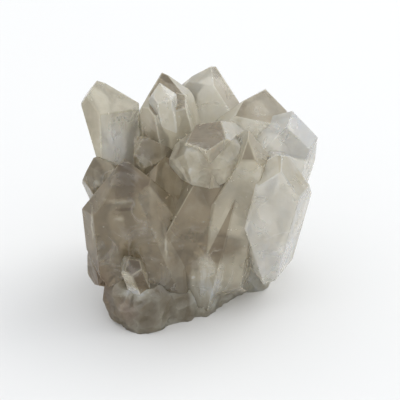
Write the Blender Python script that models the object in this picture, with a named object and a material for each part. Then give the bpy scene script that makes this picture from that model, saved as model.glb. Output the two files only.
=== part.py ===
"""Quartz crystal cluster: prismatic crystals grown together on one crystalline root, cut flat below.

Sizes are in millimetres here and become metres as each mesh is made. X is the width, -Y the front and +Z up.
Every crystal is a six-sided prism that ends in six tip faces. The root cut is the plane z = 0.
"""

import math

import bmesh
import bpy
import numpy as np
from mathutils import Vector

MM = 0.001

# Quartz habit
TIP_FACE_ANGLE = 38.2  # degrees between a tip face and the crystal's own axis
BLOCK = 160.0  # side of the blank that each crystal is cut from
UPRIGHT = 0.97  # an axis this close to the front direction takes its turn from straight up instead
PLANE_SNAP = 1e-5  # corners this close to a cutting plane lie on it
PLAIN_SIDES = (1.0, 1.0, 1.0, 1.0, 1.0, 1.0)
PLAIN_TIPS = (0.0, 4.0, 0.0, 4.0, 0.0, 4.0)

# Whole cluster
CUT_HEIGHT = 0.0  # height of the sawn base
CUTTER_WIDTH = 260.0
CUTTER_DEPTH = 60.0
MERGE_DISTANCE = 0.02  # corners closer than this are one corner
ROOT_CENTRE = (1.0, 19.5, 10.0)
ROOT_HALF_SIZE = (36.0, 23.5, 25.0)
ROOT_PLANES = 34

# Crystal rows: name, tip, foot, radius, turn about the axis in degrees, distance of each side as a share of
# the radius, how far beyond the tip each tip face passes (negative cuts deeper), taper in degrees, facets.
# A facet is (angle about the axis, rise of its normal above the prism sides, distance from the tip).
CRYSTALS = (
    # back row, standing
    ("left_back", (-42.0, 10.0, 94.7), (-40.5, -1.5, 9.0), 10.0, 30.0, (1.0, 1.64, 1.0, 1.0, 0.70, 0.90),
     (0.0, 12.0, 0.0, 7.0, 0.0, 7.0), 1.0, ((-92.0, -15.0, 9.1), (40.0, 74.0, -1.3))),
    ("left_spire", (-15.5, 4.0, 99.5), (1.0, 1.0, 9.0), 11.0, 18.0, (1.0, 0.85, 1.0, 1.0, 0.90, 1.20),
     (0.0, 1.5, 0.0, 6.0, 0.0, 6.0), 4.0, ()),
    ("spire_ledge", (-16.0, -5.5, 98.3), (-3.0, 1.5, 9.0), 5.0, 10.0, PLAIN_SIDES,
     (0.0, 0.0, 0.0, 2.0, 0.0, 2.0), 0.0, ()),
    ("spire_behind", (-26.0, 16.0, 79.0), (-20.5, 0.0, 9.0), 9.0, 10.0, PLAIN_SIDES, PLAIN_TIPS, 2.0, ()),
    ("high_spire", (6.5, 20.0, 98.0), (-6.5, 3.0, 9.0), 11.0, -12.0, (0.62, 1.30, 1.30, 1.0, 1.0, 1.40),
     (0.0, -2.5, 0.0, 6.0, 0.0, 6.0), 1.0, ()),
    ("right_back", (27.5, 14.0, 89.0), (13.9, -7.4, 30.0), 14.0, 5.0, (0.80, 1.0, 1.0, 1.0, 1.10, 1.40),
     (0.0, 7.0, 0.0, 7.0, 0.0, 7.0), 1.0, ()),
    ("right_shoulder", (37.8, 0.0, 84.3), (21.0, -7.5, 25.0), 13.0, 60.0,
     (2.0, 2.0, 1.30, 1.0, 1.0, 0.80), (9.0, 20.0, 0.0, 7.0, 0.0, 7.0), 0.0,
     ((47.0, 32.0, 0.0), (27.0, 0.0, 5.5), (67.0, 0.0, 11.0))),
    # middle
    ("forward_block", (3.0, -34.0, 80.5), (6.5, 12.0, 57.0), 15.5, 60.0,
     (1.25, 1.17, 0.82, 0.65, 0.61, 0.90), (0.0, 6.5, 0.0, 9.0, 0.0, 9.0), 1.0,
     ((125.0, 19.0, 6.3), (73.0, 22.0, 6.6))),
    ("right_front", (36.0, -18.0, 72.0), (25.5, -6.0, 17.5), 13.0, 5.0, (1.10, 0.85, 1.0, 1.0, 1.0, 1.41),
     (22.0, 4.0, -2.0, 14.0, 8.0, 16.0), 1.0,
     ((60.0, -50.0, 49.0), (-60.0, -24.0, 28.3), (185.0, 60.0, 0.3))),
    ("left_small", (-43.3, -6.0, 67.0), (-22.5, 8.0, 9.0), 8.0, 0.0, (1.0, 1.0, 1.0, 1.0, 1.0, 1.15),
     (0.0, 4.0, 0.0, -1.0, 0.0, 4.0), 2.0, ()),
    ("middle_small", (-22.5, -12.0, 78.0), (-20.5, 8.0, 9.0), 7.5, 30.0, (1.0, 1.60, 1.0, 1.0, 0.60, 1.0),
     (0.0, 12.0, 0.0, 4.0, 0.0, 4.0), 2.0, ()),
    ("left_front", (-30.0, -22.0, 72.5), (-25.0, -17.0, -2.0), 14.0, 4.0,
     (0.66, 1.50, 1.0, 1.0, 1.15, 1.22), (0.0, 9.0, 0.0, 4.0, 0.0, 2.0), 1.0,
     ((-90.0, -31.0, 37.0), (0.0, 24.0, 2.8), (42.4, 16.3, 8.2), (20.2, 5.3, 8.6))),
    ("valley", (-13.5, -20.5, 73.0), (-14.0, -6.0, -2.0), 9.0, 4.0, (1.0, 1.0, 0.90, 1.0, 1.0, 1.50),
     PLAIN_TIPS, 2.0, ((43.5, 24.4, -1.6),)),
    ("front_column", (8.0, -22.0, 82.0), (-9.2, -10.8, -4.0), 14.0, 0.0,
     (0.75, 1.05, 1.0, 1.0, 1.0, 1.25), (4.0, 6.0, 0.0, 0.0, 0.0, 9.0), 0.0, ((-84.6, 14.5, 3.2),)),
    ("front_right_column", (17.5, -22.3, 85.0), (6.5, -6.3, -4.0), 11.5, 10.0,
     (1.03, 1.0, 1.0, 1.0, 1.0, 1.30), (8.0, 4.0, 0.0, 0.0, 0.0, 12.0), 0.0,
     ((-84.0, 20.7, -0.5), (24.0, -37.6, 53.5))),
    # low front
    ("low_point", (-28.5, -37.5, 36.0), (-24.0, -26.0, 14.0), 4.3, 30.0, PLAIN_SIDES, PLAIN_TIPS, 1.0, ()),
    # behind, leaning outwards
    ("behind_left", (-30.0, 34.0, 60.0), (-14.0, 8.0, 6.0), 10.0, 10.0, PLAIN_SIDES, PLAIN_TIPS, 2.0, ()),
    ("behind_middle", (-8.0, 43.0, 58.0), (-3.0, 10.0, 6.0), 12.0, 40.0, PLAIN_SIDES, PLAIN_TIPS, 2.0, ()),
    ("behind_right", (15.0, 40.0, 62.0), (6.0, 10.0, 6.0), 11.0, 0.0, PLAIN_SIDES, PLAIN_TIPS, 2.0, ()),
    ("behind_far_right", (34.0, 28.0, 54.0), (12.0, 6.0, 6.0), 10.0, 25.0, PLAIN_SIDES, PLAIN_TIPS, 2.0, ()),
    ("behind_far_left", (-40.0, 12.0, 50.0), (-18.0, 2.0, 6.0), 9.0, 15.0, PLAIN_SIDES, PLAIN_TIPS, 2.0, ()),
    ("behind_low_right", (26.0, 42.0, 30.0), (8.0, 14.0, 4.0), 8.0, 5.0, PLAIN_SIDES, PLAIN_TIPS, 2.0, ()),
    ("behind_low_left", (-22.0, 44.0, 30.0), (-8.0, 14.0, 4.0), 8.0, 30.0, PLAIN_SIDES, PLAIN_TIPS, 2.0, ()),
    ("behind_low_middle", (4.0, 50.0, 26.0), (0.0, 16.0, 2.0), 7.0, 12.0, PLAIN_SIDES, PLAIN_TIPS, 2.0, ()),
)

# Broken massive quartz at the root: centre, half size, number of planes, seed
GOLDEN_ANGLE = math.pi * (3 - math.sqrt(5))  # spreads a lump's planes evenly
LUMP_UNEVEN = 0.12  # how far a plane's normal strays
LUMP_LEAST_REACH = 0.86  # share of the ellipsoid that the deepest plane keeps
LUMPS = (
    (ROOT_CENTRE, ROOT_HALF_SIZE, ROOT_PLANES, 2),
    ((-30.5, -22.0, 12.0), (10.0, 12.0, 14.0), 24, 5),
    ((-39.0, -17.0, 25.0), (8.0, 10.0, 14.0), 24, 8),
    ((-22.5, -27.0, 7.0), (11.0, 9.5, 14.0), 24, 11),
    ((-13.0, -19.0, 6.0), (12.0, 10.0, 14.0), 24, 3),
    ((6.0, -4.0, 6.0), (10.0, 9.0, 12.0), 24, 6),
    ((19.5, 5.5, 12.0), (13.5, 10.5, 18.0), 24, 9),
    ((4.5, -20.5, 72.0), (17.0, 12.5, 11.5), 24, 4),
)

# Small crystals that crowd round the root at the sides and behind
SMALL_COUNT = 22
SMALL_SEED = 41
SMALL_FIRST_BEARING = 70.0  # degrees round from the front, by the right
SMALL_LAST_BEARING = 300.0
SMALL_RADIUS = (2.4, 4.6)
SMALL_LENGTH = (7.0, 12.0)
SMALL_LEAN = (38.0, 78.0)  # degrees from upright
SMALL_HEIGHT = (5.0, 22.0)
SMALL_BEARING_STRAY = 4.0  # degrees
SMALL_SEAT = 0.86  # share of the root's half size at which they sit
SMALL_DRAW_IN = 0.35  # how much closer to the middle they sit at the root's top and bottom
SMALL_OUT = 0.62  # share of the length that stands out of the root
SMALL_IN = 0.9  # share of the length that lies inside it

# Finish
QUARTZ_COLOUR = (0.46, 0.41, 0.34, 1.0)
QUARTZ_ROUGHNESS = 0.16
QUARTZ_IOR = 1.544
QUARTZ_TRANSMISSION = 0.6


def blank(side):
    """A cube of this side about the origin, in millimetres."""
    bm = bmesh.new()
    bmesh.ops.create_cube(bm, size=side)
    return bm


def cut_away(bm, point, normal):
    """Removes what lies beyond a plane and closes the cut with one flat face."""
    everything = bm.verts[:] + bm.edges[:] + bm.faces[:]
    cut = bmesh.ops.bisect_plane(
        bm,
        geom=everything,
        dist=PLANE_SNAP,
        plane_co=Vector(point),
        plane_no=Vector(normal),
        clear_outer=True,
    )
    rim = [item for item in cut["geom_cut"] if isinstance(item, bmesh.types.BMEdge)]
    if len(rim) > 2:
        bmesh.ops.contextual_create(bm, geom=rim)


def mesh_object(bm, name, offset):
    """An object from the millimetre shape, moved by offset and turned into metres."""
    bmesh.ops.remove_doubles(bm, verts=bm.verts[:], dist=MERGE_DISTANCE)
    bmesh.ops.dissolve_degenerate(bm, dist=MERGE_DISTANCE, edges=bm.edges[:])
    bmesh.ops.recalc_face_normals(bm, faces=bm.faces[:])
    for vert in bm.verts:
        vert.co = (vert.co + Vector(offset)) * MM
    mesh = bpy.data.meshes.new(name)
    bm.to_mesh(mesh)
    bm.free()
    obj = bpy.data.objects.new(name, mesh)
    bpy.context.scene.collection.objects.link(obj)
    return obj


def crystal(name, tip, foot, radius, turn, sides, tips, taper, facets):
    """One crystal: a prism about the line from foot to tip, cut by its sides, tip faces and facets."""
    tip = Vector(tip)
    foot = Vector(foot)
    axis = (tip - foot).normalized()
    centre = (tip + foot) / 2
    front = Vector((0.0, -1.0, 0.0))
    if abs(front.dot(axis)) > UPRIGHT:
        front = Vector((0.0, 0.0, 1.0))
    toward = (front - axis * front.dot(axis)).normalized()
    across = axis.cross(toward)
    slope = math.radians(TIP_FACE_ANGLE)
    narrowing = math.radians(taper)
    shoulder = tip - axis * (radius / math.tan(slope))
    bm = blank(BLOCK)
    for index in range(6):
        angle = math.radians(60 * index + turn)
        out = toward * math.cos(angle) + across * math.sin(angle)
        side_normal = out * math.cos(narrowing) + axis * math.sin(narrowing)
        cut_away(bm, shoulder + out * radius * sides[index] - centre, side_normal)
        tip_normal = out * math.cos(slope) + axis * math.sin(slope)
        cut_away(bm, tip + axis * tips[index] - centre, tip_normal)
    for around, rise, distance in facets:
        angle = math.radians(around)
        out = toward * math.cos(angle) + across * math.sin(angle)
        normal = out * math.cos(math.radians(rise)) + axis * math.sin(math.radians(rise))
        cut_away(bm, tip + normal * distance - centre, normal)
    cut_away(bm, foot - centre, -axis)
    return mesh_object(bm, name, centre)


def lump(name, centre, half_size, planes, seed):
    """A broken lump: an ellipsoid's blank cut by planes spread evenly round it, a little out of true."""
    rng = np.random.default_rng(seed)
    bm = blank(BLOCK)
    for index in range(planes):
        height = 1 - 2 * (index + 0.5) / planes
        round_angle = index * GOLDEN_ANGLE + seed
        level = math.sqrt(1 - height * height)
        normal = np.array([level * math.cos(round_angle), level * math.sin(round_angle), height])
        normal = normal + rng.normal(0, LUMP_UNEVEN, 3)
        normal = normal / np.linalg.norm(normal)
        share = LUMP_LEAST_REACH + (1 - LUMP_LEAST_REACH) * rng.random()
        reach = np.linalg.norm(normal * np.array(half_size)) * share
        cut_away(bm, normal * reach, normal)
    return mesh_object(bm, name, centre)


def small_crystals():
    """The small crystals round the root, at even bearings with their heights and sizes varied."""
    rng = np.random.default_rng(SMALL_SEED)
    found = []
    for index in range(SMALL_COUNT):
        share = (index + 0.5) / SMALL_COUNT
        bearing = SMALL_FIRST_BEARING + (SMALL_LAST_BEARING - SMALL_FIRST_BEARING) * share
        bearing = math.radians(bearing + rng.uniform(-SMALL_BEARING_STRAY, SMALL_BEARING_STRAY))
        height = rng.uniform(*SMALL_HEIGHT)
        radius = rng.uniform(*SMALL_RADIUS)
        length = rng.uniform(*SMALL_LENGTH) + radius
        lean = math.radians(rng.uniform(*SMALL_LEAN))
        heading = Vector((math.sin(bearing), -math.cos(bearing), 0.0))
        seat = SMALL_SEAT * (1 - SMALL_DRAW_IN * ((height - ROOT_CENTRE[2]) / ROOT_HALF_SIZE[2]) ** 2)
        at = Vector(ROOT_CENTRE)
        at.x += heading.x * ROOT_HALF_SIZE[0] * seat
        at.y += heading.y * ROOT_HALF_SIZE[1] * seat
        at.z = height
        axis = heading * math.sin(lean) + Vector((0, 0, math.cos(lean)))
        tip = at + axis * length * SMALL_OUT
        foot = at - axis * length * SMALL_IN
        turn = rng.uniform(0, 60)
        found.append(crystal(f"small_{index}", tip, foot, radius, turn, PLAIN_SIDES, PLAIN_TIPS, 1.0, ()))
    return found


def applied(obj, tool, operation):
    """Applies a Boolean of obj with tool, and removes the tool."""
    modifier = obj.modifiers.new(operation.lower(), "BOOLEAN")
    modifier.operation = operation
    modifier.solver = "EXACT"
    modifier.object = tool
    graph = bpy.context.evaluated_depsgraph_get()
    mesh = bpy.data.meshes.new_from_object(obj.evaluated_get(graph))
    obj.modifiers.clear()
    before = obj.data
    obj.data = mesh
    bpy.data.meshes.remove(before)
    bpy.data.objects.remove(tool, do_unlink=True)


def keep_outer_shell(obj):
    """Removes hollows sealed between crystals, and corners that lie together."""
    bm = bmesh.new()
    bm.from_mesh(obj.data)
    seen = set()
    shells = []
    for face in bm.faces:
        if face in seen:
            continue
        shell = []
        waiting = [face]
        seen.add(face)
        while waiting:
            at = waiting.pop()
            shell.append(at)
            for edge in at.edges:
                for other in edge.link_faces:
                    if other not in seen:
                        seen.add(other)
                        waiting.append(other)
        shells.append(shell)
    shells.sort(key=len, reverse=True)
    inner = [face for shell in shells[1:] for face in shell]
    bmesh.ops.delete(bm, geom=inner, context="FACES")
    bmesh.ops.remove_doubles(bm, verts=bm.verts[:], dist=MERGE_DISTANCE * MM)
    bmesh.ops.dissolve_degenerate(bm, dist=MERGE_DISTANCE * MM, edges=bm.edges[:])
    bmesh.ops.triangulate(bm, faces=bm.faces[:])
    bm.to_mesh(obj.data)
    bm.free()


def quartz():
    """Pale grey-brown quartz, partly clear."""
    material = bpy.data.materials.new("quartz")
    material.use_nodes = True
    shader = material.node_tree.nodes["Principled BSDF"]
    shader.inputs["Base Color"].default_value = QUARTZ_COLOUR
    shader.inputs["Roughness"].default_value = QUARTZ_ROUGHNESS
    shader.inputs["IOR"].default_value = QUARTZ_IOR
    shader.inputs["Transmission Weight"].default_value = QUARTZ_TRANSMISSION
    return material


def build():
    for obj in list(bpy.data.objects):
        bpy.data.objects.remove(obj, do_unlink=True)
    pieces = [lump(f"lump_{index}", *row) for index, row in enumerate(LUMPS)]
    pieces += [crystal(*row) for row in CRYSTALS]
    pieces += small_crystals()
    cluster = pieces[0]
    for piece in pieces[1:]:
        applied(cluster, piece, "UNION")
    below = blank(1.0)
    bmesh.ops.scale(below, vec=(CUTTER_WIDTH, CUTTER_WIDTH, CUTTER_DEPTH), verts=below.verts[:])
    saw = mesh_object(below, "saw", (0.0, 0.0, CUT_HEIGHT - CUTTER_DEPTH / 2))
    applied(cluster, saw, "DIFFERENCE")
    keep_outer_shell(cluster)
    cluster.name = "quartz_cluster"
    cluster.data.name = "quartz_cluster"
    cluster.data.materials.clear()
    cluster.data.materials.append(quartz())


build()
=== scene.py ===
"""Quartz crystal cluster: the crystals, their broken root, their finish and a plain stage.

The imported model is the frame. One closed clear solid stands for its node: every crystal is cut from a block by
its own planes, the root is broken massive quartz, and all of them are joined and cut flat below.
Rows are in millimetres and become metres as each mesh is made.
"""

import math

import bmesh
import bpy
import numpy as np
from bpy.props import FloatProperty, FloatVectorProperty, IntProperty, PointerProperty
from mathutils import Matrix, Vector, noise


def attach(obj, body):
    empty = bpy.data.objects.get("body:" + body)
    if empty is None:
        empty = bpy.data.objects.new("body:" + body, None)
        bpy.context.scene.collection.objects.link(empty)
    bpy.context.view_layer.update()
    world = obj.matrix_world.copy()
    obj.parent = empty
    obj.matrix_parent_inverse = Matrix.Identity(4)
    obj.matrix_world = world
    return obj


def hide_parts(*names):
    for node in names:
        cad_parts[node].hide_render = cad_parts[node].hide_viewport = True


bl_info = {
    "name": "Quartz Crystal Cluster",
    "version": (1, 0, 0),
    "blender": (4, 5, 0),
    "location": "View3D > Sidebar > Quartz",
    "description": "Builds a free-standing cluster of clear, slightly smoky quartz crystals",
    "category": "Add Mesh",
}

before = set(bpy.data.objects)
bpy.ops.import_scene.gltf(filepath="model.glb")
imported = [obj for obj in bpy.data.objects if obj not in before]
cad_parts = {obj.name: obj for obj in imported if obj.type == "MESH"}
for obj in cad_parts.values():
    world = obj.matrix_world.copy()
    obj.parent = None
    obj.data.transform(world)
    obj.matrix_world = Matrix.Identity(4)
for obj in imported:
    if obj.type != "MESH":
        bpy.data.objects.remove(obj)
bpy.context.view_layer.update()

MM = 0.001
NODE = "quartz_cluster"
BODY = "root"

# Quartz habit
BLOCK = 160.0  # side of the blank that each crystal is cut from
UPRIGHT = 0.97  # an axis this close to the front direction takes its turn from straight up instead
PLANE_SNAP = 1e-5  # corners this close to a cutting plane lie on it
MERGE_DISTANCE = 0.02  # corners closer than this are one corner
PLAIN_SIDES = (1.0, 1.0, 1.0, 1.0, 1.0, 1.0)
PLAIN_TIPS = (0.0, 4.0, 0.0, 4.0, 0.0, 4.0)
ROOT_CENTRE = (1.0, 19.5, 10.0)
ROOT_HALF_SIZE = (36.0, 23.5, 25.0)

# Crystal rows: name, tip, foot, radius, turn about the axis in degrees, distance of each side as a share of
# the radius, how far beyond the tip each tip face passes (negative cuts deeper), taper in degrees, further
# facets, and paleness from 0, smoky, to 1, pale. A further facet is its angle about the axis, the rise of its
# normal above the prism sides, and its distance from the tip.
CRYSTALS = (
    # back row, standing
    ("left_back", (-42.0, 10.0, 94.7), (-40.5, -1.5, 9.0), 10.0, 30.0,
     (1.0, 1.64, 1.0, 1.0, 0.70, 0.90), (0.0, 12.0, 0.0, 7.0, 0.0, 7.0), 1.0,
     ((-92.0, -15.0, 9.1), (40.0, 74.0, -1.3)), 0.75),
    ("left_spire", (-15.5, 4.0, 99.5), (1.0, 1.0, 9.0), 11.0, 18.0,
     (1.0, 0.85, 1.0, 1.0, 0.90, 1.20), (0.0, 1.5, 0.0, 6.0, 0.0, 6.0), 4.0, (), 0.7),
    ("spire_ledge", (-16.0, -5.5, 98.3), (-3.0, 1.5, 9.0), 5.0, 10.0,
     PLAIN_SIDES, (0.0, 0.0, 0.0, 2.0, 0.0, 2.0), 0.0, (), 1.0),
    ("spire_behind", (-26.0, 16.0, 79.0), (-20.5, 0.0, 9.0), 9.0, 10.0,
     PLAIN_SIDES, PLAIN_TIPS, 2.0, (), 0.6),
    ("high_spire", (6.5, 20.0, 98.0), (-6.5, 3.0, 9.0), 11.0, -12.0,
     (0.62, 1.30, 1.30, 1.0, 1.0, 1.40), (0.0, -2.5, 0.0, 6.0, 0.0, 6.0), 1.0, (), 0.85),
    ("right_back", (27.5, 14.0, 89.0), (13.9, -7.4, 30.0), 14.0, 5.0,
     (0.80, 1.0, 1.0, 1.0, 1.10, 1.40), (0.0, 7.0, 0.0, 7.0, 0.0, 7.0), 1.0, (), 0.75),
    ("right_shoulder", (37.8, 0.0, 84.3), (21.0, -7.5, 25.0), 13.0, 60.0,
     (2.0, 2.0, 1.30, 1.0, 1.0, 0.80), (9.0, 20.0, 0.0, 7.0, 0.0, 7.0), 0.0,
     ((47.0, 32.0, 0.0), (27.0, 0.0, 5.5), (67.0, 0.0, 11.0)), 1.0),
    # middle
    ("forward_block", (3.0, -34.0, 80.5), (6.5, 12.0, 57.0), 15.5, 60.0,
     (1.25, 1.17, 0.82, 0.65, 0.61, 0.90), (0.0, 6.5, 0.0, 9.0, 0.0, 9.0), 1.0,
     ((125.0, 19.0, 6.3), (73.0, 22.0, 6.6)), 0.45),
    ("right_front", (36.0, -18.0, 72.0), (25.5, -6.0, 17.5), 13.0, 5.0,
     (1.10, 0.85, 1.0, 1.0, 1.0, 1.41), (22.0, 4.0, -2.0, 14.0, 8.0, 16.0), 1.0,
     ((60.0, -50.0, 49.0), (-60.0, -24.0, 28.3), (185.0, 60.0, 0.3)), 1.10),
    ("left_small", (-43.3, -6.0, 67.0), (-22.5, 8.0, 9.0), 8.0, 0.0,
     (1.0, 1.0, 1.0, 1.0, 1.0, 1.15), (0.0, 4.0, 0.0, -1.0, 0.0, 4.0), 2.0, (), 0.2),
    ("middle_small", (-22.5, -12.0, 78.0), (-20.5, 8.0, 9.0), 7.5, 30.0,
     (1.0, 1.60, 1.0, 1.0, 0.60, 1.0), (0.0, 12.0, 0.0, 4.0, 0.0, 4.0), 2.0, (), 0.2),
    ("left_front", (-30.0, -22.0, 72.5), (-25.0, -17.0, -2.0), 14.0, 4.0,
     (0.66, 1.50, 1.0, 1.0, 1.15, 1.22), (0.0, 9.0, 0.0, 4.0, 0.0, 2.0), 1.0,
     ((-90.0, -31.0, 37.0), (0.0, 24.0, 2.8), (42.4, 16.3, 8.2), (20.2, 5.3, 8.6)), -0.05),
    ("valley", (-13.5, -20.5, 73.0), (-14.0, -6.0, -2.0), 9.0, 4.0,
     (1.0, 1.0, 0.90, 1.0, 1.0, 1.50), PLAIN_TIPS, 2.0, ((43.5, 24.4, -1.6),), 0.0),
    ("front_column", (8.0, -22.0, 82.0), (-9.2, -10.8, -4.0), 14.0, 0.0,
     (0.75, 1.05, 1.0, 1.0, 1.0, 1.25), (4.0, 6.0, 0.0, 0.0, 0.0, 9.0), 0.0,
     ((-84.6, 14.5, 3.2),), 0.3),
    ("front_right_column", (17.5, -22.3, 85.0), (6.5, -6.3, -4.0), 11.5, 10.0,
     (1.03, 1.0, 1.0, 1.0, 1.0, 1.30), (8.0, 4.0, 0.0, 0.0, 0.0, 12.0), 0.0,
     ((-84.0, 20.7, -0.5), (24.0, -37.6, 53.5)), 0.45),
    # low front
    ("low_point", (-28.5, -37.5, 36.0), (-24.0, -26.0, 14.0), 4.3, 30.0,
     PLAIN_SIDES, PLAIN_TIPS, 1.0, (), 0.3),
    # behind, leaning outwards
    ("behind_left", (-30.0, 34.0, 60.0), (-14.0, 8.0, 6.0), 10.0, 10.0,
     PLAIN_SIDES, PLAIN_TIPS, 2.0, (), 0.5),
    ("behind_middle", (-8.0, 43.0, 58.0), (-3.0, 10.0, 6.0), 12.0, 40.0,
     PLAIN_SIDES, PLAIN_TIPS, 2.0, (), 0.7),
    ("behind_right", (15.0, 40.0, 62.0), (6.0, 10.0, 6.0), 11.0, 0.0,
     PLAIN_SIDES, PLAIN_TIPS, 2.0, (), 0.8),
    ("behind_far_right", (34.0, 28.0, 54.0), (12.0, 6.0, 6.0), 10.0, 25.0,
     PLAIN_SIDES, PLAIN_TIPS, 2.0, (), 0.9),
    ("behind_far_left", (-40.0, 12.0, 50.0), (-18.0, 2.0, 6.0), 9.0, 15.0,
     PLAIN_SIDES, PLAIN_TIPS, 2.0, (), 0.3),
    ("behind_low_right", (26.0, 42.0, 30.0), (8.0, 14.0, 4.0), 8.0, 5.0,
     PLAIN_SIDES, PLAIN_TIPS, 2.0, (), 0.8),
    ("behind_low_left", (-22.0, 44.0, 30.0), (-8.0, 14.0, 4.0), 8.0, 30.0,
     PLAIN_SIDES, PLAIN_TIPS, 2.0, (), 0.5),
    ("behind_low_middle", (4.0, 50.0, 26.0), (0.0, 16.0, 2.0), 7.0, 12.0,
     PLAIN_SIDES, PLAIN_TIPS, 2.0, (), 0.6),
)

# Broken massive quartz at the root: centre, half size, number of planes, seed, paleness
GOLDEN_ANGLE = math.pi * (3 - math.sqrt(5))  # spreads a lump's planes evenly
LUMP_UNEVEN = 0.12  # how far a plane's normal strays
LUMP_LEAST_REACH = 0.86  # share of the ellipsoid that the deepest plane keeps
LUMPS = (
    (ROOT_CENTRE, ROOT_HALF_SIZE, 34, 2, 0.5),
    ((-30.5, -22.0, 12.0), (10.0, 12.0, 14.0), 24, 5, 0.05),
    ((-39.0, -17.0, 25.0), (8.0, 10.0, 14.0), 24, 8, 0.05),
    ((-22.5, -27.0, 7.0), (11.0, 9.5, 14.0), 24, 11, 0.15),
    ((-13.0, -19.0, 6.0), (12.0, 10.0, 14.0), 24, 3, 0.2),
    ((6.0, -4.0, 6.0), (10.0, 9.0, 12.0), 24, 6, 0.4),
    ((19.5, 5.5, 12.0), (13.5, 10.5, 18.0), 24, 9, 0.9),
    ((4.5, -20.5, 72.0), (17.0, 12.5, 11.5), 24, 4, 0.45),
)

# Small crystals that crowd round the root at the sides and behind
SMALL_COUNT = 22
SMALL_SEED = 41
SMALL_FIRST_BEARING = 70.0  # degrees round from the front, by the right
SMALL_LAST_BEARING = 300.0
SMALL_RADIUS = (2.4, 4.6)
SMALL_LENGTH = (7.0, 12.0)
SMALL_LEAN = (38.0, 78.0)  # degrees from upright
SMALL_HEIGHT = (5.0, 22.0)
SMALL_BEARING_STRAY = 4.0  # degrees
SMALL_SEAT = 0.86  # share of the root's half size at which they sit
SMALL_DRAW_IN = 0.35  # how much closer to the middle they sit at the root's top and bottom
SMALL_OUT = 0.62  # share of the length that stands out of the root
SMALL_IN = 0.9  # share of the length that lies inside it
SMALL_PALENESS = 0.7
MASSIVE_PALENESS = 0.28  # of the quartz that fills the clefts, over the middle of the base
# the quartz in the clefts grows paler to the right and up, following the painted light and painted shade on the
# crystals beside it
MASSIVE_PALER = Vector((0.011, 0.0, 0.005))  # what each millimetre right, back and up adds to it

# Mostly painted light and painted shade that each facet catches, and a few frosted faces
# Faces paler or darker than the rest of their crystal: angle about the axis, rise of the normal, and change
FACE_SHADES = {
    "left_back": ((-30.0, 1.0, -0.20), (30.0, 1.0, 0.26)),
    "left_spire": ((18.0, 38.0, -0.75), (18.0, 4.0, -0.25), (-42.0, 4.0, -0.36)),
    "spire_ledge": ((10.0, 38.0, -0.15), (10.0, 0.0, -0.20)),
    "high_spire": ((48.0, 38.0, -0.70),),
    "right_back": ((5.0, 38.0, -0.72),),
    "right_front": ((-55.0, 38.0, -0.35), (5.0, 38.0, -0.35), (65.0, 38.0, -0.30)),
    "right_shoulder": ((47.0, 32.0, 0.60), (-60.0, 38.0, 0.05)),
    "forward_block": (
        (180.0, 38.0, -0.70),
        (125.0, 19.0, 0.55),
        (-60.0, 38.0, -0.15),
        (60.0, 38.0, -0.10),
    ),
    "middle_small": ((30.0, 38.0, -0.10), (30.0, 1.0, 0.35)),
    "left_front": (
        (4.0, 38.0, -0.50),
        (0.0, 24.0, -0.38),
        (42.4, 16.3, 0.14),
        (20.2, 5.3, 0.17),
    ),
    "valley": ((43.5, 24.4, 0.14),),
    "front_column": ((-84.6, 14.5, -0.10), (0.0, 0.0, -0.44)),
    "front_right_column": (
        (10.0, 38.0, -0.45),
        (-50.0, 38.0, -0.25),
        (70.0, 38.0, -0.25),
        (10.0, 0.0, 0.16),
    ),
    "low_point": (
        (30.0, 38.0, -1.80),
        (30.0, 1.0, -1.20),
        (-30.0, 38.0, 0.45),
        (-30.0, 1.0, 0.45),
    ),
}
FACE_MATCH = math.cos(math.radians(7.0))  # a face is this close to the direction in its row

# Marks in the quartz: centre, half size, how soft the edge is as a share of it, change in paleness
MARKS = (
    # frosted foot of the left back crystal, made paler still as painted light that lifts the shadow the spire
    # casts on it
    ((-36.0, -1.0, 68.0), (11.0, 9.0, 13.0), 0.8, 0.50),
    # window in the small middle crystal
    ((-23.2, -17.0, 68.5), (2.8, 3.0, 3.2), 0.2, 0.24),
    # chip on the small left crystal
    ((-42.3, -10.8, 56.9), (2.0, 2.2, 1.3), 0.8, 0.42),
    # crack in the left front crystal, with crushed quartz beside it and a healed band above it
    ((-29.7, -30.1, 53.9), (4.2, 3.0, 0.90), 0.5, -2.60),
    ((-31.8, -30.1, 49.7), (2.6, 2.5, 1.7), 0.9, 0.42),
    ((-32.5, -30.2, 57.6), (8.0, 4.0, 1.4), 0.8, 0.36),
    # painted highlights down edges of the left front and front crystals
    ((-43.1, -29.2, 46.6), (0.7, 5.0, 12.0), 0.8, 0.40),
    ((-13.7, -28.4, 35.8), (1.0, 3.0, 7.0), 0.8, 0.45),
    # darker in the middle of the front columns and low between them
    ((10.0, -24.0, 35.0), (13.0, 9.0, 11.0), 0.9, -0.42),
    ((-14.0, -27.0, 14.0), (8.0, 9.0, 11.0), 0.9, -0.10),
    # clear streaked foot of the front crystals
    ((0.5, -25.0, 15.0), (7.5, 12.0, 13.0), 0.8, 0.30),
    # chips at the foot
    ((-2.9, -26.7, 20.1), (1.3, 2.5, 2.6), 0.6, 0.80),
    ((21.6, -20.1, 23.0), (0.8, 3.0, 2.6), 0.6, 0.60),
    ((-0.4, -25.7, 11.4), (0.6, 3.0, 6.0), 0.6, -0.80),
    # frost round the low point
    ((-26.0, -35.2, 18.0), (9.5, 9.0, 4.4), 0.9, 0.80),
    # clear foot of the right front crystal and smoke near its shoulder
    ((34.0, -15.0, 27.0), (16.0, 16.0, 20.0), 0.9, 0.40),
    ((39.7, -22.5, 65.5), (4.0, 5.0, 5.0), 0.8, -0.16),
)
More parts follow.
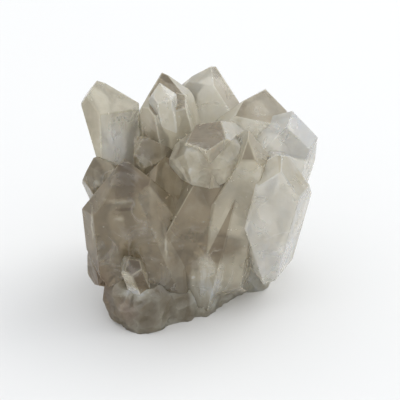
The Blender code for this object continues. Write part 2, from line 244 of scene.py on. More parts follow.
# Iron-pink spots at the foot: the same, with how deep the pink is
PINK_MARKS = (
    ((-30.0, -35.0, 10.0), (7.0, 6.0, 8.0), 0.9, 0.45),
    ((14.7, -19.8, 13.9), (1.6, 3.0, 1.2), 0.8, 0.5),
    ((22.7, -18.6, 16.5), (2.2, 3.0, 1.6), 0.8, 0.5),
)

# Corner colour: paleness, with painted light and shade on some faces, distance along the crystal's axis, wear,
# and 1 on a crystal or 0 on the root
GROWTH = "growth"
AXIS_SCALE = 0.01  # what the attribute holds for each millimetre along the axis

# Finish. A noise is its size in metres, its detail, its roughness and its warp.
CLOUDS = (0.016, 4.0, 0.55, 0.4)
FINE_MOTTLE = (0.0035, 3.0, 0.6, 0.0)
VEIL_SHEETS = (0.013, 3.0, 0.5, 1.2)
VEIL_PARTS = (0.019, 2.0, 0.5, 0.0)
SPECK_PARTS = (0.014, 2.0, 0.5, 0.0)
STREAKS = (0.0028, 3.0, 0.6, 0.0)
CRUSHED_PARTS = (0.010, 2.0, 0.5, 0.0)
FROST_PARTS = (0.011, 3.0, 0.6, 0.8)
SWELLS = (0.009, 3.0, 0.55, 0.0)
LINE_PARTS = (0.006, 2.0, 0.5, 0.0)
FLOOR_MOTTLE = (0.4, 2.0, 0.5, 0.0)
# Where a noise or a distance starts to count and where it counts in full
VEIL_PARTS_STEP = (0.48, 0.60)
VEIL_STEP = (0.070, 0.0)
SPECK_STEP = (0.16, 0.06)
SPECK_PARTS_STEP = (0.50, 0.62)
CRUSHED_STEP = (0.54, 0.68)
CRUSHED_PARTS_STEP = (0.50, 0.60)
FROST_STEP = (0.52, 0.72)
SEAM_HIGHLIGHT_STEP = (0.035, 0.0)
# Sizes in metres
SPECK_SPACING = 0.0030
PAINTED_REFRACTION_SIZE = 0.010
SCAR_SIZE = 0.0070
CHIP_SIZE = 0.004
WORN_SIZE = 0.0035  # of the noise that frays the edges of marks
WORN_REACH = 0.0012  # how far it moves them
# How the streaks and the painted refractions of faces inside are drawn out: scale and lean
STREAK_DRAW = (0.16, math.radians(10.0))
PAINTED_REFRACTION_DRAW = (0.45, math.radians(8.0))
# Paleness that is gained with each metre to the right and each metre up, and what is taken off it: partly smoky
# zoning, partly painted light from the right and painted shade at the lower left
LEAN_RIGHT = 5.0
LEAN_UP = 6.0
LEAN_START = 0.20
# How much each thing counts in the paleness
CRYSTAL_SHARE = 0.62
LEAN_SHARE = 0.40
CLOUD_SHARE = 0.50
MOTTLE_SHARE = 0.16
PAINTED_REFRACTION_SHARE = 0.13
STREAK_SHARE = 0.16
COLUMN_STREAK_SHARE = 1.5
COLUMN_SHARE = 0.60
SEAM_HIGHLIGHT_SHARE = 0.16
SCAR_SHARE = 0.50
SCAR_LEVEL = 0.42  # distance from a scar's middle where it changes nothing
CRUSHED_SHARE = 0.25
# Paleness at which each colour starts and how fast it takes over
MILKY_RATE = 2.0
PALE_START = 0.5
PALE_RATE = 2.0
FROST_START = 0.9
FROST_RATE = 3.0
# how fast the deep smoke and painted shade take over below 0
DEEP_RATE = 1.8
VEIL_DEPTH = 0.18
SPECK_DEPTH = 0.5
# Places: centre, half size, and how soft the edge is as a share of it
PALE_COLUMN = ((2.5, -24.0, 18.0), (9.0, 16.0, 20.0), 0.8)
# A seam low on the right front crystal, drawn as a painted highlight along its arc
SEAM_HIGHLIGHT = ((36.0, -22.0, 26.0), (15.6, 400.0, 15.6))  # an arc low on the right front crystal
SEAM_HIGHLIGHT_PART = ((31.0, -23.0, 41.0), (8.0, 8.0, 6.0), 0.5)
STAIN = ((-45.0, -32.0, 15.0), (15.0, 22.0, 23.0), 0.8)
STAIN_DEPTH = 0.9
# Roughness all over, and what each thing adds to it
ROUGH_BASE = 0.12
ROUGH_FROST = 0.22
ROUGH_MOTTLE = 0.10
ROUGH_VEILS = 0.12
ROUGH_WEAR = 0.05
ROUGH_ROOT = 0.18
# Growth lines across the crystals: how close, and how far the clouds bend them
LINE_RATE = 55.0
LINE_BEND = 2.0
# Relief: depth in metres and strength
LINE_RELIEF = (0.00012, 0.35)
SWELL_RELIEF = (0.0012, 0.35)
CHIP_RELIEF = (0.0012, 0.8)
SCAR_RELIEF = (0.0040, 0.9)
# Light that spreads under the surface
GLOW = 0.6
GLOW_REACH = 0.004
GLOW_COLOUR = (1.0, 0.92, 0.8)

# Making of the solids
PRISM_SIDES = 6
EDGE_SEGMENTS = 2  # strips of faces in a worn edge
EDGE_PROFILE = 0.6  # roundness of a worn edge
SMOOTHING_STEP = 0.5
SAW_SIZE = (260.0, 260.0, 60.0)  # the block that takes off all below the base
LEAST_FACES = 12  # of each crystal, in a cluster that has joined
SHARP_ANGLE = math.radians(42.0)

# Broken crust, in metres
CRUST_WANDER_SIZE = 0.014  # of the noise that moves the crust's upper edge
CRUST_WANDER = 0.006  # how far it moves it
CRUST_FADE = 0.014  # height over which the crust thins out
RECESS_FADE = 0.012  # height over which the recess grows in
# Chips in the crust, as shares of a chip's width or of the break depth
CHIP_STRAY = 0.35
CHIP_STRAY_SCALES = (1.3, 1.1)
CHIP_STRAY_OFFSET = Vector((7.0, 3.0, 5.0))
CHIP_RIDGE = 0.7
CHIP_SLOPE = 1.6
CHIP_LEVEL = 0.5
CHIP_PROUD = 0.35
CHIP_HOLLOW = 1.1
CHIP_GRAIN = 0.35
GRAIN_SCALE = 2.7
GRAIN_FRACTAL = (0.9, 2.1, 3)  # how fast it fades, how much finer each octave is, and octaves

# Stage. Places and sizes are in metres.
SKY_COLOUR = (0.97, 0.985, 1.0, 1.0)
KEY_COLOUR = (1.0, 1.0, 0.98)
KEY_PLACE = (4.0, 1.8, 4.0)
KEY_SIZE = 4.8
MIDDLE = (0.0, 0.0, 0.045)  # what the key light faces
CAMERA_TARGET = Vector((0.0, 0.0, 0.044))
SENSOR_WIDTH = 36.0  # millimetres
CLIP_START = 0.01
FLOOR_LOW = 0.995  # brightness of the darker spots on the floor
FLOOR_ROUGHNESS = 0.95
FLOOR_SHEEN = 0.1


# ---------------------------------------------------------------- settings


def length_setting(name, description, default, least=0.0):
    return FloatProperty(
        name=name,
        description=description,
        default=default,
        min=least,
        unit="LENGTH",
        subtype="DISTANCE",
    )


def angle_setting(name, description, degrees):
    return FloatProperty(
        name=name,
        description=description,
        default=math.radians(degrees),
        unit="ROTATION",
        subtype="ANGLE",
    )


def colour_setting(name, description, default):
    return FloatVectorProperty(
        name=name,
        description=description,
        default=default,
        min=0.0,
        max=1.0,
        subtype="COLOR",
    )


class QuartzHabitSettings(bpy.types.PropertyGroup):
    tip_face_angle: angle_setting(
        "Tip Face Angle", "Angle between a tip face and the crystal's own axis", 38.2
    )
    edge_width: length_setting(
        "Edge Width", "Width of the worn edges between two faces of a crystal", 0.00045, 0.00005
    )


class QuartzRootSettings(bpy.types.PropertyGroup):
    grain: length_setting("Grain", "Spacing of the points on the broken root", 0.0011, 0.0004)
    smoothing: IntProperty(
        name="Smoothing",
        description="How widely the massive quartz fills the clefts between crystals",
        default=7,
        min=1,
    )
    clearance: length_setting(
        "Clearance", "How far the massive quartz stays under the flat faces of the crystals", 0.0005
    )
    recess: length_setting(
        "Recess", "How much further back the massive quartz stays between the crystals higher up", 0.0022
    )
    crust_height: length_setting(
        "Crust Height", "Height up to which the broken crust covers the feet of the crystals", 0.013
    )
    break_depth: length_setting(
        "Break Depth", "How far the ridges between chips stand out of the broken root", 0.0024
    )
    break_size: length_setting("Break Size", "Width of one chip in the broken root", 0.009)


class QuartzFinishSettings(bpy.types.PropertyGroup):
    pale_colour: colour_setting("Pale Quartz", "Colour of the clearest crystals", (0.93, 0.93, 0.91))
    smoky_colour: colour_setting("Smoky Quartz", "Colour of the darkest crystals", (0.305, 0.25, 0.165))
    milky_colour: colour_setting(
        "Milky Quartz", "Colour of the crystals between the darkest and the clearest", (0.65, 0.61, 0.49)
    )
    frost_colour: colour_setting("Frosted Quartz", "Colour of the frosted faces", (0.94, 0.945, 0.92))
    # also the painted shade on faces darkened below the smoky colour
    deep_smoke_and_shade_colour: colour_setting("Deep Smoke and Painted Shade", "Colour where the smoke is thickest", (0.16, 0.115, 0.065))
    stain_colour: colour_setting(
        "Iron Stain", "Colour of the stain in the root's left edge", (0.20, 0.125, 0.07)
    )
    pink_colour: colour_setting(
        "Pink Spots", "Colour of the iron-pink spots at the foot", (0.55, 0.42, 0.34)
    )
    clarity: FloatProperty(
        name="Clarity",
        description="Share of the light that passes through the surface",
        default=0.55,
        min=0.0,
        max=1.0,
        subtype="FACTOR",
    )
    refraction: FloatProperty(
        name="Index of Refraction",
        description="Refraction of quartz",
        default=1.544,
    )
    absorption: FloatProperty(
        name="Absorption",
        description="How quickly the smoky tint takes light away inside, per metre",
        default=16.0,
        min=0.0,
    )
    absorption_colour: colour_setting(
        "Absorption Colour", "Tint of the light that passes through the inside", (0.70, 0.62, 0.50)
    )


class QuartzStageSettings(bpy.types.PropertyGroup):
    floor_colour: colour_setting("Floor", "Colour of the plain floor", (0.785, 0.785, 0.785))
    floor_width: length_setting("Floor Width", "Side of the square floor", 6.0)
    sky_strength: FloatProperty(
        name="Surrounding Light",
        description="Strength of the even light from all round",
        default=1.07,
    )
    key_power: FloatProperty(
        name="Key Light",
        description="Power of the large light behind on the right",
        default=130.0,
        unit="POWER",
    )
    camera_height: angle_setting("Camera Elevation", "Angle of the camera above the horizon", 25.0)
    camera_distance: length_setting(
        "Camera Distance", "Distance from the camera to the middle of the cluster", 0.45
    )
    camera_width: length_setting(
        "Framed Width", "Width that the camera frames at the middle of the cluster", 0.17
    )


# ---------------------------------------------------------------- shader maths


class Value:
    """A number that varies over a surface. Arithmetic on it adds Math nodes to its material."""

    def __init__(self, finish, socket):
        self.finish = finish
        self.socket = socket

    def math(self, operation, *others, clamp=False):
        inputs = {index: item for index, item in enumerate((self, *others))}
        return self.finish.add("ShaderNodeMath", {"operation": operation, "use_clamp": clamp}, inputs)

    def __add__(self, other):
        return self.math("ADD", other)

    __radd__ = __add__

    def __mul__(self, other):
        return self.math("MULTIPLY", other)

    __rmul__ = __mul__

    def __sub__(self, other):
        return self.math("SUBTRACT", other)

    def __rsub__(self, other):
        return self.finish.add("ShaderNodeMath", {"operation": "SUBTRACT"}, {0: other, 1: self})

    def held(self):
        """The same number kept between 0 and 1."""
        return self.math("ADD", 0.0, clamp=True)


class Finish:
    """A material in the making."""

    def __init__(self, name):
        self.material = bpy.data.materials.new(name)
        self.material.use_nodes = True
        self.tree = self.material.node_tree
        self.shader = self.tree.nodes["Principled BSDF"]
        self.output = self.tree.nodes["Material Output"]
        self.place = self.add("ShaderNodeTexCoord", {}, {}, "Object")

    def add(self, kind, settings, inputs, output=0):
        """Adds one node, its settings before the values or links of its sockets, and returns one output."""
        node = self.tree.nodes.new(kind)
        for key, value in settings.items():
            setattr(node, key, value)
        for key, value in inputs.items():
            if isinstance(value, Value):
                self.tree.links.new(value.socket, node.inputs[key])
            else:
                node.inputs[key].default_value = value
        return Value(self, node.outputs[output])

    def parts_of(self, kind, source):
        """The three parts of a colour or a place, each as a number."""
        node = self.add(kind, {}, {0: source}).socket.node
        return [Value(self, output) for output in node.outputs]

    def feed(self, socket, value):
        """Links what changes over the surface to a socket of the shader."""
        self.tree.links.new(value.socket, self.shader.inputs[socket])

    def plain(self, **values):
        """Sets sockets that are the same all over the surface."""
        for key, value in values.items():
            self.shader.inputs[key.replace("_", " ")].default_value = value

    def mixed(self, factor, first, second):
        """A colour from first, where factor is 0, to second, where it is 1."""
        first, second = (item if isinstance(item, Value) else (*item, 1.0) for item in (first, second))
        settings = {"data_type": "RGBA", "blend_type": "MIX", "clamp_factor": True}
        return self.add("ShaderNodeMix", settings, {0: factor, 6: first, 7: second}, 2)

    def drawn_out(self, rise, lean):
        """The place, with its height scaled and leaning to the right."""
        inputs = {"Vector": self.place, "Rotation": (0.0, lean, 0.0), "Scale": (1.0, 1.0, rise)}
        return self.add("ShaderNodeMapping", {"vector_type": "POINT"}, inputs)

    def noise(self, size, detail, rough, warp, place=None):
        inputs = {
            "Vector": place or self.place,
            "Scale": 1 / size,
            "Detail": detail,
            "Roughness": rough,
            "Distortion": warp,
        }
        return self.add("ShaderNodeTexNoise", {"noise_dimensions": "3D"}, inputs, "Fac")

    def cells(self, size, feature="F1", place=None, output="Distance"):
        inputs = {"Vector": place or self.place, "Scale": 1 / size}
        return self.add("ShaderNodeTexVoronoi", {"feature": feature}, inputs, output)

    def step(self, value, start, end):
        """0 below start, 1 above end and a smooth rise between them. It falls where end is below start."""
        settings = {"interpolation_type": "SMOOTHSTEP", "clamp": True}
        low, high, floor, top = (start, end, 0.0, 1.0) if start < end else (end, start, 1.0, 0.0)
        inputs = {"Value": value, "From Min": low, "From Max": high, "To Min": floor, "To Max": top}
        return self.add("ShaderNodeMapRange", settings, inputs)

    def vector(self, operation, inputs, output=0):
        return self.add("ShaderNodeVectorMath", {"operation": operation}, inputs, output)

    def span(self, centre, reaches, place=None):
        """Distance from a point in millimetres, as a share of three half sizes."""
        offset = self.vector("SUBTRACT", {0: place or self.place, 1: Vector(centre) * MM})
        share = self.vector("DIVIDE", {0: offset, 1: Vector(reaches) * MM})
        return self.vector("LENGTH", {0: share}, "Value")

    def near(self, centre, reaches, soft, place=None):
        """1 about a point in millimetres and 0 beyond the three half sizes."""
        return self.step(self.span(centre, reaches, place), 1.0, 1.0 - soft)

    def wandering(self, size, reach):
        """The place, moved up to reach by noise of this size."""
        inputs = {"Vector": self.place, "Scale": 1 / size, "Detail": 2.0}
        drift = self.add("ShaderNodeTexNoise", {"noise_dimensions": "3D"}, inputs, "Color")
        drift = self.vector("SUBTRACT", {0: drift, 1: (0.5, 0.5, 0.5)})
        drift = self.vector("SCALE", {0: drift, "Scale": reach * 2})
        return self.vector("ADD", {0: self.place, 1: drift})

    def bumped(self, height, distance, strength, over=None):
        """The normal with a height added, over another relief."""
        inputs = {"Height": height, "Distance": distance, "Strength": strength}
        if over is not None:
            inputs["Normal"] = over
        return self.add("ShaderNodeBump", {}, inputs, "Normal")


def quartz_finish(settings):
    """Milky, slightly smoky quartz: pale at the right and the tips and smoky brown at the lower left, partly as
    painted light and painted shade.
    """
    finish = Finish("quartz")
    growth = finish.add("ShaderNodeAttribute", {"attribute_name": GROWTH}, {}, "Color")
    paleness, along, wear = finish.parts_of("ShaderNodeSeparateColor", growth)
    grown = Value(finish, growth.socket.node.outputs["Alpha"])
    broken = 1.0 - grown
    across, _, height = finish.parts_of("ShaderNodeSeparateXYZ", finish.place)
    worn_place = finish.wandering(WORN_SIZE, WORN_REACH)
    clouds = finish.noise(*CLOUDS)
    mottle = finish.noise(*FINE_MOTTLE)
    scars = finish.cells(SCAR_SIZE, place=worn_place) * broken

    # paler to the right and up: painted light from the right and painted shade at the lower left, over smoky
    # zoning
    lean = (across * LEAN_RIGHT + height * LEAN_UP - LEAN_START).held()
    # cells of tone that paint the look of faces refracted inside the quartz: painted refraction
    planes = finish.cells(PAINTED_REFRACTION_SIZE, place=finish.drawn_out(*PAINTED_REFRACTION_DRAW), output="Color")
    planes = finish.parts_of("ShaderNodeSeparateColor", planes)[0]
    streaks = finish.noise(*STREAKS, place=finish.drawn_out(*STREAK_DRAW))
    column = finish.near(*PALE_COLUMN)
    # a seam drawn as a painted highlight along an arc on the right front crystal
    seam_highlight = finish.step((finish.span(*SEAM_HIGHLIGHT, worn_place) - 1.0).math("ABSOLUTE"), *SEAM_HIGHLIGHT_STEP)
    seam_highlight = seam_highlight * finish.near(*SEAM_HIGHLIGHT_PART)
    crushed = finish.step(mottle, *CRUSHED_STEP) * broken
    crushed = crushed * finish.step(finish.noise(*CRUSHED_PARTS), *CRUSHED_PARTS_STEP)
    shade = paleness * CRYSTAL_SHARE + lean * LEAN_SHARE
    shade = shade + (clouds - 0.5) * CLOUD_SHARE + (mottle - 0.5) * MOTTLE_SHARE
    shade = shade + (planes - 0.5) * PAINTED_REFRACTION_SHARE + seam_highlight * SEAM_HIGHLIGHT_SHARE
    shade = shade + (streaks - 0.5) * (column * COLUMN_STREAK_SHARE + STREAK_SHARE) + column * COLUMN_SHARE
    shade = shade + (scars - SCAR_LEVEL) * broken * SCAR_SHARE + crushed * CRUSHED_SHARE
    # some of the marks are painted highlights and painted light, as their rows say
    for centre, half_size, soft, change in MARKS:
        shade = shade + finish.near(centre, half_size, soft, worn_place) * change

    veils = finish.step((finish.noise(*VEIL_SHEETS) - 0.5).math("ABSOLUTE"), *VEIL_STEP)
    veils = veils * finish.step(finish.noise(*VEIL_PARTS), *VEIL_PARTS_STEP)
    specks = finish.step(finish.cells(SPECK_SPACING), *SPECK_STEP)
    specks = specks * finish.step(finish.noise(*SPECK_PARTS), *SPECK_PARTS_STEP)
    colour = finish.mixed((shade * MILKY_RATE).held(), settings.smoky_colour, settings.milky_colour)
    colour = finish.mixed(((shade - PALE_START) * PALE_RATE).held(), colour, settings.pale_colour)
    colour = finish.mixed(((shade - FROST_START) * FROST_RATE).held(), colour, settings.frost_colour)
    # darkest where paleness falls below 0: deep smoke, the crack, and painted shade on darkened faces
    colour = finish.mixed((shade * -DEEP_RATE).held(), colour, settings.deep_smoke_and_shade_colour)
    colour = finish.mixed(veils * VEIL_DEPTH + specks * SPECK_DEPTH, colour, settings.pale_colour)
    for centre, half_size, soft, depth in PINK_MARKS:
        pink = finish.near(centre, half_size, soft, worn_place) * depth
        colour = finish.mixed(pink, colour, settings.pink_colour)
    colour = finish.mixed(finish.near(*STAIN) * STAIN_DEPTH, colour, settings.stain_colour)
    finish.feed("Base Color", colour)

    frost = finish.step(finish.noise(*FROST_PARTS), *FROST_STEP)
    rough = frost * ROUGH_FROST + mottle * ROUGH_MOTTLE + veils * ROUGH_VEILS
    rough = rough + wear * ROUGH_WEAR + broken * ROUGH_ROOT + ROUGH_BASE
    finish.feed("Roughness", rough.held())

    lines = (along * LINE_RATE + clouds * LINE_BEND).math("SINE") * 0.5 + finish.noise(*LINE_PARTS)
    relief = finish.bumped(lines * grown, *LINE_RELIEF)
    relief = finish.bumped(finish.noise(*SWELLS), *SWELL_RELIEF, relief)
    relief = finish.bumped(finish.cells(CHIP_SIZE, "SMOOTH_F1") * broken, *CHIP_RELIEF, relief)
    relief = finish.bumped(scars, *SCAR_RELIEF, relief)
    finish.feed("Normal", relief)

    finish.plain(Transmission_Weight=settings.clarity, IOR=settings.refraction)
    finish.plain(Subsurface_Weight=GLOW, Subsurface_Scale=GLOW_REACH, Subsurface_Radius=GLOW_COLOUR)
    tint = {"Color": (*settings.absorption_colour, 1.0), "Density": settings.absorption}
    inside = finish.add("ShaderNodeVolumeAbsorption", {}, tint, "Volume")
    finish.tree.links.new(inside.socket, finish.output.inputs["Volume"])
    return finish.material


def floor_finish(settings):
    """Plain matt paint with a faint mottle."""
    finish = Finish("floor")
    low = tuple(channel * FLOOR_LOW for channel in settings.floor_colour)
    finish.feed("Base Color", finish.mixed(finish.noise(*FLOOR_MOTTLE), low, settings.floor_colour))
    finish.plain(Roughness=FLOOR_ROUGHNESS, Specular_IOR_Level=FLOOR_SHEEN)
    return finish.material


# ---------------------------------------------------------------- solids


def blank(side):
    """A cube of this side about the origin, in millimetres."""
    bm = bmesh.new()
    bmesh.ops.create_cube(bm, size=side)
    return bm


def cut_away(bm, point, normal):
    """Removes what lies beyond a plane and closes the cut with one flat face."""
    everything = bm.verts[:] + bm.edges[:] + bm.faces[:]
    cut = bmesh.ops.bisect_plane(
        bm,
        geom=everything,
        dist=PLANE_SNAP,
        plane_co=Vector(point),
        plane_no=Vector(normal),
        clear_outer=True,
    )
    rim = [item for item in cut["geom_cut"] if isinstance(item, bmesh.types.BMEdge)]
    if len(rim) > 2:
        bmesh.ops.contextual_create(bm, geom=rim)


def tidy(bm):
    """Merges corners that coincide and turns every face outwards."""
    bmesh.ops.remove_doubles(bm, verts=bm.verts[:], dist=MERGE_DISTANCE)
    bmesh.ops.dissolve_degenerate(bm, dist=MERGE_DISTANCE, edges=bm.edges[:])
    bmesh.ops.recalc_face_normals(bm, faces=bm.faces[:])


def mesh_object(bm, name, offset=(0.0, 0.0, 0.0)):
    """An object from the millimetre shape, moved by offset and turned into metres."""
    for vert in bm.verts:
        vert.co = (vert.co + Vector(offset)) * MM
    mesh = bpy.data.meshes.new(name)
    bm.to_mesh(mesh)
    bm.free()
    obj = bpy.data.objects.new(name, mesh)
    bpy.context.scene.collection.objects.link(obj)
    return obj


def crystal_axes(tip, foot):
    """The crystal's axis, the direction across it that faces the front, and the one across both."""
    axis = (tip - foot).normalized()
    front = Vector((0.0, -1.0, 0.0))
    if abs(front.dot(axis)) > UPRIGHT:
        front = Vector((0.0, 0.0, 1.0))
    toward = (front - axis * front.dot(axis)).normalized()
    return axis, toward, axis.cross(toward)


def direction_of(around, rise, axis, toward, sideways):
    """The direction at an angle about a crystal's axis, raised from its prism sides toward the tip."""
    out = toward * math.cos(math.radians(around)) + sideways * math.sin(math.radians(around))
    return out * math.cos(math.radians(rise)) + axis * math.sin(math.radians(rise))


def mark_growth(bm, paleness, origin, axis, kind, shades=(), worn=frozenset()):
    """Writes the growth attribute.

    shades holds a direction and a change in paleness for each face that differs, mostly painted light and
    painted shade on single faces, and worn the rounded edges.
    """
    layer = bm.loops.layers.float_color.new(GROWTH)
    for face in bm.faces:
        tone = paleness
        for direction, change in shades:
            if face.normal.dot(direction) > FACE_MATCH:
                tone = paleness + change
        wear = 1.0 if face in worn else 0.0
        for loop in face.loops:
            along = (loop.vert.co - origin).dot(axis) * AXIS_SCALE
            loop[layer] = (tone, along, wear, kind)


def crystal(habit, name, tip, foot, radius, turn, sides, tips, taper, facets, paleness):
    """A prism about the line from foot to tip, cut by its sides, its tip faces and any further facets."""
    tip = Vector(tip)
    foot = Vector(foot)
    centre = (tip + foot) / 2
    axis, toward, sideways = crystal_axes(tip, foot)
    slope = habit.tip_face_angle
    narrowing = math.radians(taper)
    shoulder = tip - axis * (radius / math.tan(slope))
    bm = blank(BLOCK)
    for index in range(PRISM_SIDES):
        angle = math.radians(360 / PRISM_SIDES * index + turn)
        out = toward * math.cos(angle) + sideways * math.sin(angle)
        side_normal = out * math.cos(narrowing) + axis * math.sin(narrowing)
        cut_away(bm, shoulder + out * radius * sides[index] - centre, side_normal)
        tip_normal = out * math.cos(slope) + axis * math.sin(slope)
        cut_away(bm, tip + axis * tips[index] - centre, tip_normal)
    for around, rise, distance in facets:
        normal = direction_of(around, rise, axis, toward, sideways)
        cut_away(bm, tip + normal * distance - centre, normal)
    cut_away(bm, foot - centre, -axis)
    tidy(bm)
    rounded = bmesh.ops.bevel(
        bm,
        geom=bm.edges[:],
        offset=habit.edge_width / MM,
        segments=EDGE_SEGMENTS,
        profile=EDGE_PROFILE,
        affect="EDGES",
        clamp_overlap=True,
    )
    bm.normal_update()
    # faces whose paleness is shifted, mostly painted light and painted shade
    shades = [
        (direction_of(around, rise, axis, toward, sideways), change)
        for around, rise, change in FACE_SHADES.get(name, ())
    ]
    mark_growth(bm, paleness, tip - centre, axis, 1.0, shades, set(rounded["faces"]))
    return mesh_object(bm, name, centre)


def lump(name, centre, half_size, planes, seed, paleness):
    """A broken lump: a blank cut by planes spread evenly round an ellipsoid, each a little out of true."""
    rng = np.random.default_rng(seed)
    bm = blank(BLOCK)
    for index in range(planes):
        height = 1 - 2 * (index + 0.5) / planes
        round_angle = index * GOLDEN_ANGLE + seed
        level = math.sqrt(1 - height * height)
        normal = np.array([level * math.cos(round_angle), level * math.sin(round_angle), height])
        normal = normal + rng.normal(0, LUMP_UNEVEN, 3)
        normal = normal / np.linalg.norm(normal)
        share = LUMP_LEAST_REACH + (1 - LUMP_LEAST_REACH) * rng.random()
        reach = np.linalg.norm(normal * np.array(half_size)) * share
        cut_away(bm, normal * reach, normal)
    tidy(bm)
    mark_growth(bm, paleness, Vector(), Vector((0.0, 0.0, 1.0)), 0.0)
    return mesh_object(bm, name, centre)


def weld(cluster, root):
    """Fuses the crystals: massive quartz fills their clefts and covers their feet with a broken crust."""
    massive = cluster.copy()
    massive.data = cluster.data.copy()
    massive.name = "massive"
    bpy.context.scene.collection.objects.link(massive)
    grain = massive.modifiers.new("grain", "REMESH")
    grain.mode = "VOXEL"
    grain.voxel_size = root.grain
    smooth = massive.modifiers.new("smooth", "SMOOTH")
    smooth.factor = SMOOTHING_STEP
    smooth.iterations = root.smoothing
    settle(massive)
    bm = bmesh.new()
    bm.from_mesh(massive.data)
    bm.normal_update()
    moves = [vert.normal * crust(vert.co, root) for vert in bm.verts]
    for vert, move in zip(bm.verts, moves):
        vert.co += move
    bmesh.ops.triangulate(bm, faces=bm.faces[:])
    for layer in list(bm.loops.layers.float_color.values()):
        bm.loops.layers.float_color.remove(layer)
    layer = bm.loops.layers.float_color.new(GROWTH)
    for face in bm.faces:
        for loop in face.loops:
            # paler to the right and up, following the painted light and painted shade on the crystals
            tone = MASSIVE_PALENESS + MASSIVE_PALER.dot(loop.vert.co) / MM
            loop[layer] = (min(max(tone, 0.0), 1.0), 0.0, 0.0, 0.0)
    bm.to_mesh(massive.data)
    bm.free()
    joined(cluster, massive, "UNION")


def crust(at, root):
    """How far the massive quartz stands out at a point: negative higher up, proud and chipped near the base."""
    wander = noise.noise(at / CRUST_WANDER_SIZE) * CRUST_WANDER
    low = min(max((root.crust_height - at.z + wander) / CRUST_FADE, 0.0), 1.0)
    high = min(max((at.z - root.crust_height) / RECESS_FADE, 0.0), 1.0)
    place = at / root.break_size
    wide, tall = (place * scale for scale in CHIP_STRAY_SCALES)
    stray = Vector((noise.noise(wide), noise.noise(wide + CHIP_STRAY_OFFSET), noise.noise(tall)))
    nearest, next_nearest = noise.voronoi(place + stray * CHIP_STRAY)[0][:2]
    ridge = min(next_nearest - nearest, CHIP_RIDGE) / CHIP_RIDGE
    scoop = nearest * CHIP_SLOPE - CHIP_LEVEL
    grain = noise.fractal(place * GRAIN_SCALE, *GRAIN_FRACTAL)
    proud = root.break_depth * (CHIP_PROUD + CHIP_HOLLOW * scoop * ridge + CHIP_GRAIN * grain)
    return -(root.clearance + root.recess * high) * (1 - low) + proud * low


def small_crystals(habit):
    """The small crystals round the root, at even bearings with their heights and sizes varied."""
    rng = np.random.default_rng(SMALL_SEED)
    found = []
    for index in range(SMALL_COUNT):
        share = (index + 0.5) / SMALL_COUNT
        bearing = SMALL_FIRST_BEARING + (SMALL_LAST_BEARING - SMALL_FIRST_BEARING) * share
        bearing = math.radians(bearing + rng.uniform(-SMALL_BEARING_STRAY, SMALL_BEARING_STRAY))
        height = rng.uniform(*SMALL_HEIGHT)
        radius = rng.uniform(*SMALL_RADIUS)
        length = rng.uniform(*SMALL_LENGTH) + radius
        lean = math.radians(rng.uniform(*SMALL_LEAN))
        heading = Vector((math.sin(bearing), -math.cos(bearing), 0.0))
        seat = SMALL_SEAT * (1 - SMALL_DRAW_IN * ((height - ROOT_CENTRE[2]) / ROOT_HALF_SIZE[2]) ** 2)
        at = Vector(ROOT_CENTRE)
        at.x += heading.x * ROOT_HALF_SIZE[0] * seat
        at.y += heading.y * ROOT_HALF_SIZE[1] * seat
        at.z = height
        axis = heading * math.sin(lean) + Vector((0, 0, math.cos(lean)))
        tip = at + axis * length * SMALL_OUT
        foot = at - axis * length * SMALL_IN
        turn = rng.uniform(0, 60)
        shape = (tip, foot, radius, turn, PLAIN_SIDES, PLAIN_TIPS, 1.0, (), SMALL_PALENESS)
        found.append(crystal(habit, f"small_{index}", *shape))
    return found


def settle(obj):
    """Turns an object's modifiers into its mesh."""
    graph = bpy.context.evaluated_depsgraph_get()
    mesh = bpy.data.meshes.new_from_object(obj.evaluated_get(graph))
    obj.modifiers.clear()
    before = obj.data
    obj.data = mesh
    bpy.data.meshes.remove(before)


def joined(obj, tool, operation):
    """Applies a Boolean of obj with tool, and removes the tool."""
    modifier = obj.modifiers.new(operation.lower(), "BOOLEAN")
    modifier.operation = operation
    modifier.solver = "MANIFOLD"
    modifier.object = tool
    settle(obj)
    bpy.data.objects.remove(tool, do_unlink=True)


def keep_outer_shell(obj):
    """Removes hollows sealed between crystals."""
    bm = bmesh.new()
    bm.from_mesh(obj.data)
    seen = set()
    shells = []
    for face in bm.faces:
        if face in seen:
            continue
        shell = []
        waiting = [face]
        seen.add(face)
        while waiting:
            at = waiting.pop()
            shell.append(at)
            for edge in at.edges:
                for other in edge.link_faces:
                    if other not in seen:
                        seen.add(other)
                        waiting.append(other)
        shells.append(shell)
    shells.sort(key=len, reverse=True)
    inner = [face for shell in shells[1:] for face in shell]
    bmesh.ops.delete(bm, geom=inner, context="FACES")
    bm.to_mesh(obj.data)
    bm.free()


# ---------------------------------------------------------------- operators


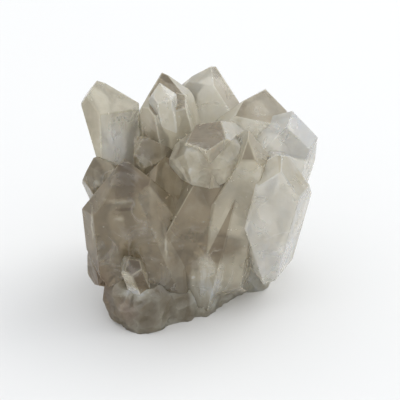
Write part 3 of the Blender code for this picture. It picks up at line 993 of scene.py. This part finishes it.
class QUARTZ_OT_cluster(bpy.types.Operator):
    """Cut every crystal and root lump, join them in one clear solid and saw it flat below"""

    bl_idname = "quartz.cluster"
    bl_label = "Crystals and Root"
    bl_options = {"REGISTER", "UNDO"}

    def execute(self, context):
        scene = context.scene
        root = scene.quartz_root
        habit = scene.quartz_habit
        pieces = [lump(f"lump_{index}", *row) for index, row in enumerate(LUMPS)]
        pieces += [crystal(habit, *row) for row in CRYSTALS]
        pieces += small_crystals(habit)
        cluster = pieces[0]
        for piece in pieces[1:]:
            joined(cluster, piece, "UNION")
        weld(cluster, root)
        saw = blank(1.0)
        bmesh.ops.scale(saw, vec=SAW_SIZE, verts=saw.verts[:])
        joined(cluster, mesh_object(saw, "saw", (0.0, 0.0, -SAW_SIZE[2] / 2)), "DIFFERENCE")
        keep_outer_shell(cluster)
        if len(cluster.data.polygons) < len(CRYSTALS) * LEAST_FACES:
            raise RuntimeError("the crystals did not join in one solid")
        cluster.name = "clear_cluster"
        cluster.data.name = "clear_cluster"
        cluster.data.shade_smooth()
        cluster.data.set_sharp_from_angle(angle=SHARP_ANGLE)
        weighted = cluster.modifiers.new("weighted normals", "WEIGHTED_NORMAL")
        weighted.keep_sharp = True
        cluster.data.materials.clear()
        cluster.data.materials.append(quartz_finish(scene.quartz_finish))
        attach(cluster, BODY)
        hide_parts(NODE)
        return {"FINISHED"}


def area_light(name, place, target, size, power, colour):
    """Hangs a square light that faces the target."""
    light = bpy.data.lights.new(name, "AREA")
    light.shape = "SQUARE"
    light.size = size
    light.energy = power
    light.color = colour
    obj = bpy.data.objects.new(name, light)
    obj.location = place
    obj.rotation_euler = (Vector(target) - Vector(place)).to_track_quat("-Z", "Y").to_euler()
    bpy.context.scene.collection.objects.link(obj)


class QUARTZ_OT_stage(bpy.types.Operator):
    """Lay a plain pale floor and set soft studio light and the camera"""

    bl_idname = "quartz.stage"
    bl_label = "Stage"
    bl_options = {"REGISTER", "UNDO"}

    def execute(self, context):
        scene = context.scene
        settings = scene.quartz_stage
        bm = bmesh.new()
        bmesh.ops.create_grid(bm, x_segments=2, y_segments=2, size=settings.floor_width / 2 / MM)
        floor = mesh_object(bm, "floor")
        floor.data.materials.append(floor_finish(settings))
        world = bpy.data.worlds.new("surroundings")
        world.use_nodes = True
        sky = world.node_tree.nodes["Background"]
        sky.inputs["Color"].default_value = SKY_COLOUR
        sky.inputs["Strength"].default_value = settings.sky_strength
        scene.world = world
        area_light("key", KEY_PLACE, MIDDLE, KEY_SIZE, settings.key_power, KEY_COLOUR)
        camera = bpy.data.cameras.new("camera")
        camera.sensor_width = SENSOR_WIDTH
        camera.lens = SENSOR_WIDTH * settings.camera_distance / settings.camera_width
        camera.clip_start = CLIP_START
        viewer = bpy.data.objects.new("camera", camera)
        rise = settings.camera_height
        back = Vector((0.0, -math.cos(rise), math.sin(rise)))
        viewer.location = CAMERA_TARGET + back * settings.camera_distance
        viewer.rotation_euler = (-back).to_track_quat("-Z", "Y").to_euler()
        scene.collection.objects.link(viewer)
        scene.camera = viewer
        scene.view_settings.view_transform = "Standard"
        scene.view_settings.look = "None"
        return {"FINISHED"}


class QUARTZ_PT_panel(bpy.types.Panel):
    """Lists the makers of the quartz cluster and its stage"""

    bl_idname = "QUARTZ_PT_panel"
    bl_label = "Quartz Cluster"
    bl_space_type = "VIEW_3D"
    bl_region_type = "UI"
    bl_category = "Quartz"

    def draw(self, context):
        layout = self.layout
        scene = context.scene
        for operator, groups in STEPS:
            layout.operator(operator.bl_idname)
            for group in groups:
                settings = getattr(scene, group)
                for name in settings.bl_rna.properties.keys():
                    if name not in ("rna_type", "name"):
                        layout.prop(settings, name)


STEPS = (
    (QUARTZ_OT_cluster, ("quartz_habit", "quartz_root", "quartz_finish")),
    (QUARTZ_OT_stage, ("quartz_stage",)),
)
GROUPS = {
    "quartz_habit": QuartzHabitSettings,
    "quartz_root": QuartzRootSettings,
    "quartz_finish": QuartzFinishSettings,
    "quartz_stage": QuartzStageSettings,
}
CLASSES = (*GROUPS.values(), QUARTZ_OT_cluster, QUARTZ_OT_stage, QUARTZ_PT_panel)


def register():
    for cls in CLASSES:
        bpy.utils.register_class(cls)
    for name, group in GROUPS.items():
        setattr(bpy.types.Scene, name, PointerProperty(type=group))


def unregister():
    for name in GROUPS:
        delattr(bpy.types.Scene, name)
    for cls in reversed(CLASSES):
        bpy.utils.unregister_class(cls)


def main():
    register()
    bpy.ops.quartz.cluster()
    bpy.ops.quartz.stage()


if __name__ == "__main__":
    main()
